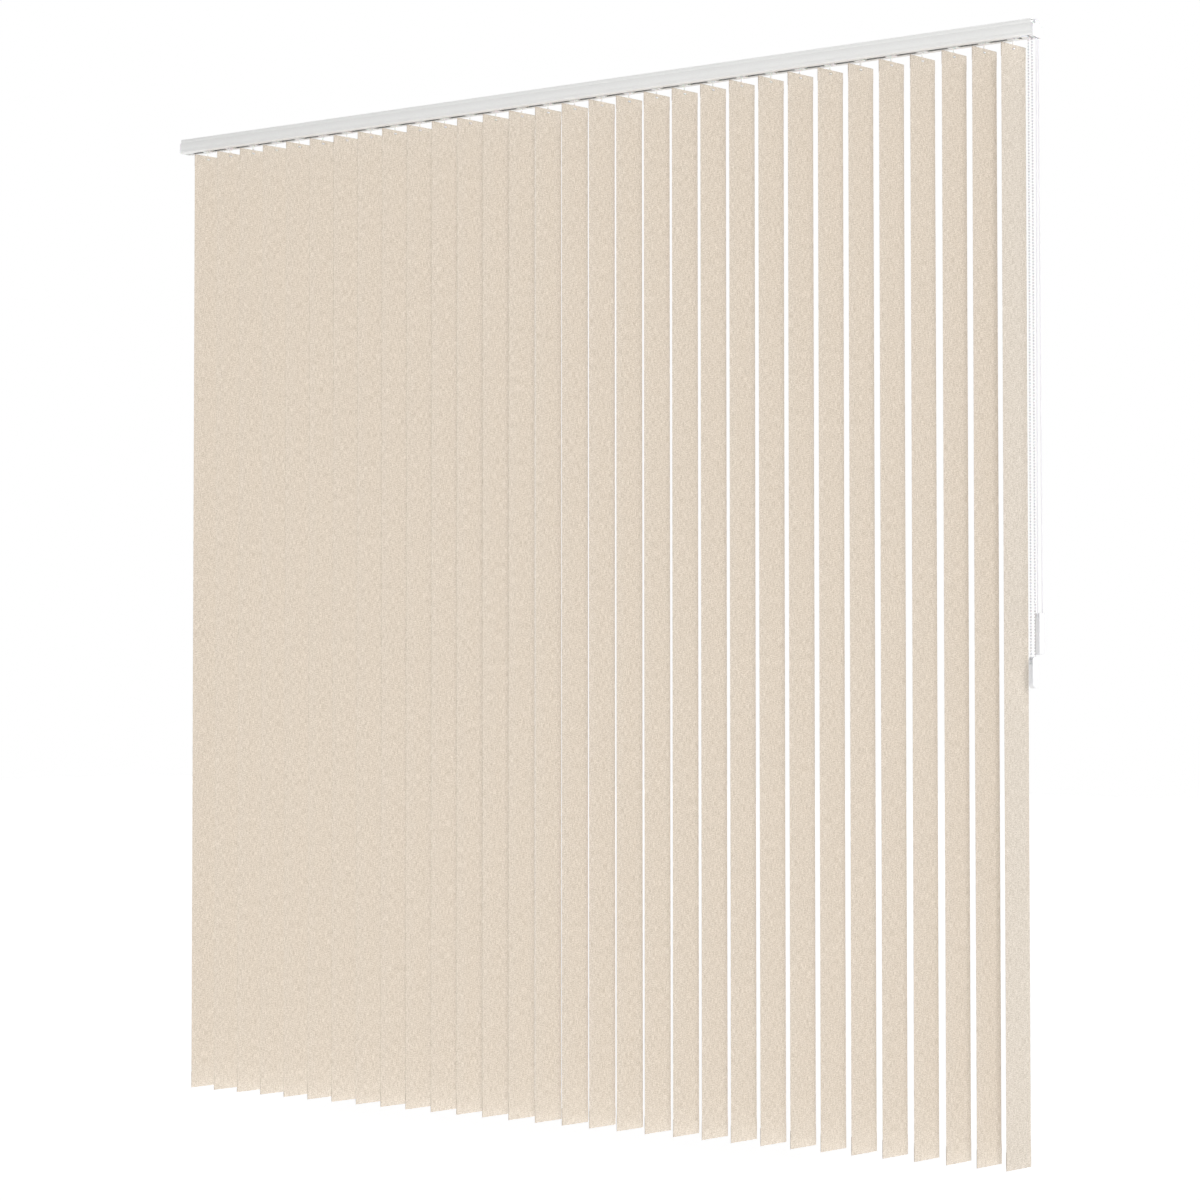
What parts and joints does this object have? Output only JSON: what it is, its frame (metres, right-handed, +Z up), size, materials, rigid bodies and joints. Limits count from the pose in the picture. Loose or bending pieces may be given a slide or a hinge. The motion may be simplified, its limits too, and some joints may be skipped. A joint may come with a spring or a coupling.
{
  "type": "vertical blind",
  "caption": "Ceiling-mounted vertical blind with fabric slats, a bead chain that tilts them and a weighted cord loop that draws them.",
  "frame": {"origin": "middle of the headrail's top, where the ceiling is", "axes": "+X along the headrail to the controls, +Y to the window behind the blind, +Z up"},
  "size_m": [2.512, 0.088, 2.511],
  "materials": {
    "rail_white": "satin",
    "cap_white": "satin",
    "acetal": "satin",
    "rod_alloy": "drawn",
    "steel": "zinc plated",
    "chain_white": "gloss",
    "cord_white": "braided",
    "weight_shell": "satin",
    "slat_fabric": "woven"
  },
  "bodies": {
    "headrail": {"headrail": "rail_white", "idler_cap": "cap_white", "control_housing": "cap_white", "control_cap": "cap_white", "end_screws": "steel", "ceiling_clips": "steel", "rod_bushes": "acetal", "carrier_bodies": "acetal", "carrier_wheels": "acetal", "spacer_links": "steel", "pulley_axle": "steel", "bead_chain": "chain_white", "draw_cord": "cord_white", "cord_knot": "cord_white", "chain_weight_shell_left": "weight_shell", "chain_weight_shell_right": "weight_shell", "cord_weight_shell_left": "weight_shell", "cord_weight_shell_right": "weight_shell", "weight_axles": "steel", "weight_slugs": "steel"},
    "tilt_drive": {"tilt_rod": "rod_alloy", "worms": "acetal", "chain_sprocket": "acetal"},
    "idler": {"idler_pulley": "acetal"},
    "front_pulley": {"front_cord_pulley": "acetal"},
    "rear_pulley": {"rear_cord_pulley": "acetal"},
    "chain_wheel": {"chain_weight_wheel": "acetal"},
    "weight_pulley": {"cord_weight_pulley": "acetal"},
    "slat_01": {"slat_01": "slat_fabric"},
    "slat_02": {"slat_02": "slat_fabric"},
    "slat_03": {"slat_03": "slat_fabric"},
    "slat_04": {"slat_04": "slat_fabric"},
    "slat_05": {"slat_05": "slat_fabric"},
    "slat_06": {"slat_06": "slat_fabric"},
    "slat_07": {"slat_07": "slat_fabric"},
    "slat_08": {"slat_08": "slat_fabric"},
    "slat_09": {"slat_09": "slat_fabric"},
    "slat_10": {"slat_10": "slat_fabric"},
    "slat_11": {"slat_11": "slat_fabric"},
    "slat_12": {"slat_12": "slat_fabric"},
    "slat_13": {"slat_13": "slat_fabric"},
    "slat_14": {"slat_14": "slat_fabric"},
    "slat_15": {"slat_15": "slat_fabric"},
    "slat_16": {"slat_16": "slat_fabric"},
    "slat_17": {"slat_17": "slat_fabric"},
    "slat_18": {"slat_18": "slat_fabric"},
    "slat_19": {"slat_19": "slat_fabric"},
    "slat_20": {"slat_20": "slat_fabric"},
    "slat_21": {"slat_21": "slat_fabric"},
    "slat_22": {"slat_22": "slat_fabric"},
    "slat_23": {"slat_23": "slat_fabric"},
    "slat_24": {"slat_24": "slat_fabric"},
    "slat_25": {"slat_25": "slat_fabric"},
    "slat_26": {"slat_26": "slat_fabric"},
    "slat_27": {"slat_27": "slat_fabric"},
    "slat_28": {"slat_28": "slat_fabric"},
    "slat_29": {"slat_29": "slat_fabric"},
    "slat_30": {"slat_30": "slat_fabric"},
    "slat_31": {"slat_31": "slat_fabric"}
  },
  "joints": [
    {"name": "slat_01_tilt", "type": "hinge", "parent": "headrail", "child": "slat_01", "pos_m": [-1.1748, 0, -0.0205], "axis": [0, 0, 1], "range_deg": [-70, 70]},
    {"name": "slat_02_tilt", "type": "hinge", "parent": "headrail", "child": "slat_02", "pos_m": [-1.0953, 0, -0.0205], "axis": [0, 0, 1], "range_deg": [-70, 70]},
    {"name": "slat_03_tilt", "type": "hinge", "parent": "headrail", "child": "slat_03", "pos_m": [-1.01581, 0, -0.0205], "axis": [0, 0, 1], "range_deg": [-70, 70]},
    {"name": "slat_04_tilt", "type": "hinge", "parent": "headrail", "child": "slat_04", "pos_m": [-0.93631, 0, -0.0205], "axis": [0, 0, 1], "range_deg": [-70, 70]},
    {"name": "slat_05_tilt", "type": "hinge", "parent": "headrail", "child": "slat_05", "pos_m": [-0.85681, 0, -0.0205], "axis": [0, 0, 1], "range_deg": [-70, 70]},
    {"name": "slat_06_tilt", "type": "hinge", "parent": "headrail", "child": "slat_06", "pos_m": [-0.77732, 0, -0.0205], "axis": [0, 0, 1], "range_deg": [-70, 70]},
    {"name": "slat_07_tilt", "type": "hinge", "parent": "headrail", "child": "slat_07", "pos_m": [-0.69782, 0, -0.0205], "axis": [0, 0, 1], "range_deg": [-70, 70]},
    {"name": "slat_08_tilt", "type": "hinge", "parent": "headrail", "child": "slat_08", "pos_m": [-0.61833, 0, -0.0205], "axis": [0, 0, 1], "range_deg": [-70, 70]},
    {"name": "slat_09_tilt", "type": "hinge", "parent": "headrail", "child": "slat_09", "pos_m": [-0.53883, 0, -0.0205], "axis": [0, 0, 1], "range_deg": [-70, 70]},
    {"name": "slat_10_tilt", "type": "hinge", "parent": "headrail", "child": "slat_10", "pos_m": [-0.45933, 0, -0.0205], "axis": [0, 0, 1], "range_deg": [-70, 70]},
    {"name": "slat_11_tilt", "type": "hinge", "parent": "headrail", "child": "slat_11", "pos_m": [-0.37984, 0, -0.0205], "axis": [0, 0, 1], "range_deg": [-70, 70]},
    {"name": "slat_12_tilt", "type": "hinge", "parent": "headrail", "child": "slat_12", "pos_m": [-0.30034, 0, -0.0205], "axis": [0, 0, 1], "range_deg": [-70, 70]},
    {"name": "slat_13_tilt", "type": "hinge", "parent": "headrail", "child": "slat_13", "pos_m": [-0.22084, 0, -0.0205], "axis": [0, 0, 1], "range_deg": [-70, 70]},
    {"name": "slat_14_tilt", "type": "hinge", "parent": "headrail", "child": "slat_14", "pos_m": [-0.14135, 0, -0.0205], "axis": [0, 0, 1], "range_deg": [-70, 70]},
    {"name": "slat_15_tilt", "type": "hinge", "parent": "headrail", "child": "slat_15", "pos_m": [-0.06185, 0, -0.0205], "axis": [0, 0, 1], "range_deg": [-70, 70]},
    {"name": "slat_16_tilt", "type": "hinge", "parent": "headrail", "child": "slat_16", "pos_m": [0.01765, 0, -0.0205], "axis": [0, 0, 1], "range_deg": [-70, 70]},
    {"name": "slat_17_tilt", "type": "hinge", "parent": "headrail", "child": "slat_17", "pos_m": [0.09714, 0, -0.0205], "axis": [0, 0, 1], "range_deg": [-70, 70]},
    {"name": "slat_18_tilt", "type": "hinge", "parent": "headrail", "child": "slat_18", "pos_m": [0.17664, 0, -0.0205], "axis": [0, 0, 1], "range_deg": [-70, 70]},
    {"name": "slat_19_tilt", "type": "hinge", "parent": "headrail", "child": "slat_19", "pos_m": [0.25614, 0, -0.0205], "axis": [0, 0, 1], "range_deg": [-70, 70]},
    {"name": "slat_20_tilt", "type": "hinge", "parent": "headrail", "child": "slat_20", "pos_m": [0.33563, 0, -0.0205], "axis": [0, 0, 1], "range_deg": [-70, 70]},
    {"name": "slat_21_tilt", "type": "hinge", "parent": "headrail", "child": "slat_21", "pos_m": [0.41513, 0, -0.0205], "axis": [0, 0, 1], "range_deg": [-70, 70]},
    {"name": "slat_22_tilt", "type": "hinge", "parent": "headrail", "child": "slat_22", "pos_m": [0.49462, 0, -0.0205], "axis": [0, 0, 1], "range_deg": [-70, 70]},
    {"name": "slat_23_tilt", "type": "hinge", "parent": "headrail", "child": "slat_23", "pos_m": [0.57412, 0, -0.0205], "axis": [0, 0, 1], "range_deg": [-70, 70]},
    {"name": "slat_24_tilt", "type": "hinge", "parent": "headrail", "child": "slat_24", "pos_m": [0.65362, 0, -0.0205], "axis": [0, 0, 1], "range_deg": [-70, 70]},
    {"name": "slat_25_tilt", "type": "hinge", "parent": "headrail", "child": "slat_25", "pos_m": [0.73311, 0, -0.0205], "axis": [0, 0, 1], "range_deg": [-70, 70]},
    {"name": "slat_26_tilt", "type": "hinge", "parent": "headrail", "child": "slat_26", "pos_m": [0.81261, 0, -0.0205], "axis": [0, 0, 1], "range_deg": [-70, 70]},
    {"name": "slat_27_tilt", "type": "hinge", "parent": "headrail", "child": "slat_27", "pos_m": [0.89211, 0, -0.0205], "axis": [0, 0, 1], "range_deg": [-70, 70]},
    {"name": "slat_28_tilt", "type": "hinge", "parent": "headrail", "child": "slat_28", "pos_m": [0.9716, 0, -0.0205], "axis": [0, 0, 1], "range_deg": [-70, 70]},
    {"name": "slat_29_tilt", "type": "hinge", "parent": "headrail", "child": "slat_29", "pos_m": [1.0511, 0, -0.0205], "axis": [0, 0, 1], "range_deg": [-70, 70]},
    {"name": "slat_30_tilt", "type": "hinge", "parent": "headrail", "child": "slat_30", "pos_m": [1.1261, 0, -0.0205], "axis": [0, 0, 1], "range_deg": [-70, 70]},
    {"name": "slat_31_tilt", "type": "hinge", "parent": "headrail", "child": "slat_31", "pos_m": [1.1974, 0, -0.0205], "axis": [0, 0, 1], "range_deg": [-70, 70]},
    {"name": "rod_spin", "type": "hinge", "parent": "headrail", "child": "tilt_drive", "pos_m": [0, -0.0085, -0.0205], "axis": [1, 0, 0], "range_deg": [-840, 840]},
    {"name": "chain_wheel_spin", "type": "hinge", "parent": "headrail", "child": "chain_wheel", "pos_m": [1.2425, -0.0085, -1.4073], "axis": [1, 0, 0], "range_deg": [-672, 672]},
    {"name": "front_pulley_spin", "type": "hinge", "parent": "headrail", "child": "front_pulley", "pos_m": [1.2452, 0.0046, -0.0175], "axis": [0, 1, 0], "continuous": true},
    {"name": "rear_pulley_spin", "type": "hinge", "parent": "headrail", "child": "rear_pulley", "pos_m": [1.2452, 0.014, -0.0175], "axis": [0, 1, 0], "continuous": true},
    {"name": "idler_spin", "type": "hinge", "parent": "headrail", "child": "idler", "pos_m": [-1.24, 0.0093, -0.012], "axis": [0, 0, 1], "continuous": true},
    {"name": "weight_pulley_spin", "type": "hinge", "parent": "headrail", "child": "weight_pulley", "pos_m": [1.2507, 0.0093, -1.3138], "axis": [1, 0, 0], "continuous": true}
  ],
  "couplings": [
    {"joint": "slat_02_tilt", "follows": "slat_01_tilt", "ratio": 1},
    {"joint": "slat_03_tilt", "follows": "slat_01_tilt", "ratio": 1},
    {"joint": "slat_04_tilt", "follows": "slat_01_tilt", "ratio": 1},
    {"joint": "slat_05_tilt", "follows": "slat_01_tilt", "ratio": 1},
    {"joint": "slat_06_tilt", "follows": "slat_01_tilt", "ratio": 1},
    {"joint": "slat_07_tilt", "follows": "slat_01_tilt", "ratio": 1},
    {"joint": "slat_08_tilt", "follows": "slat_01_tilt", "ratio": 1},
    {"joint": "slat_09_tilt", "follows": "slat_01_tilt", "ratio": 1},
    {"joint": "slat_10_tilt", "follows": "slat_01_tilt", "ratio": 1},
    {"joint": "slat_11_tilt", "follows": "slat_01_tilt", "ratio": 1},
    {"joint": "slat_12_tilt", "follows": "slat_01_tilt", "ratio": 1},
    {"joint": "slat_13_tilt", "follows": "slat_01_tilt", "ratio": 1},
    {"joint": "slat_14_tilt", "follows": "slat_01_tilt", "ratio": 1},
    {"joint": "slat_15_tilt", "follows": "slat_01_tilt", "ratio": 1},
    {"joint": "slat_16_tilt", "follows": "slat_01_tilt", "ratio": 1},
    {"joint": "slat_17_tilt", "follows": "slat_01_tilt", "ratio": 1},
    {"joint": "slat_18_tilt", "follows": "slat_01_tilt", "ratio": 1},
    {"joint": "slat_19_tilt", "follows": "slat_01_tilt", "ratio": 1},
    {"joint": "slat_20_tilt", "follows": "slat_01_tilt", "ratio": 1},
    {"joint": "slat_21_tilt", "follows": "slat_01_tilt", "ratio": 1},
    {"joint": "slat_22_tilt", "follows": "slat_01_tilt", "ratio": 1},
    {"joint": "slat_23_tilt", "follows": "slat_01_tilt", "ratio": 1},
    {"joint": "slat_24_tilt", "follows": "slat_01_tilt", "ratio": 1},
    {"joint": "slat_25_tilt", "follows": "slat_01_tilt", "ratio": 1},
    {"joint": "slat_26_tilt", "follows": "slat_01_tilt", "ratio": 1},
    {"joint": "slat_27_tilt", "follows": "slat_01_tilt", "ratio": 1},
    {"joint": "slat_28_tilt", "follows": "slat_01_tilt", "ratio": 1},
    {"joint": "slat_29_tilt", "follows": "slat_01_tilt", "ratio": 1},
    {"joint": "slat_30_tilt", "follows": "slat_01_tilt", "ratio": 1},
    {"joint": "slat_31_tilt", "follows": "slat_01_tilt", "ratio": 1},
    {"joint": "rod_spin", "follows": "slat_01_tilt", "ratio": -12},
    {"joint": "chain_wheel_spin", "follows": "slat_01_tilt", "ratio": -9.6},
    {"joint": "rear_pulley_spin", "follows": "front_pulley_spin", "ratio": -1},
    {"joint": "idler_spin", "follows": "front_pulley_spin", "ratio": 1.1702},
    {"joint": "weight_pulley_spin", "follows": "front_pulley_spin", "ratio": 0.47826}
  ]
}
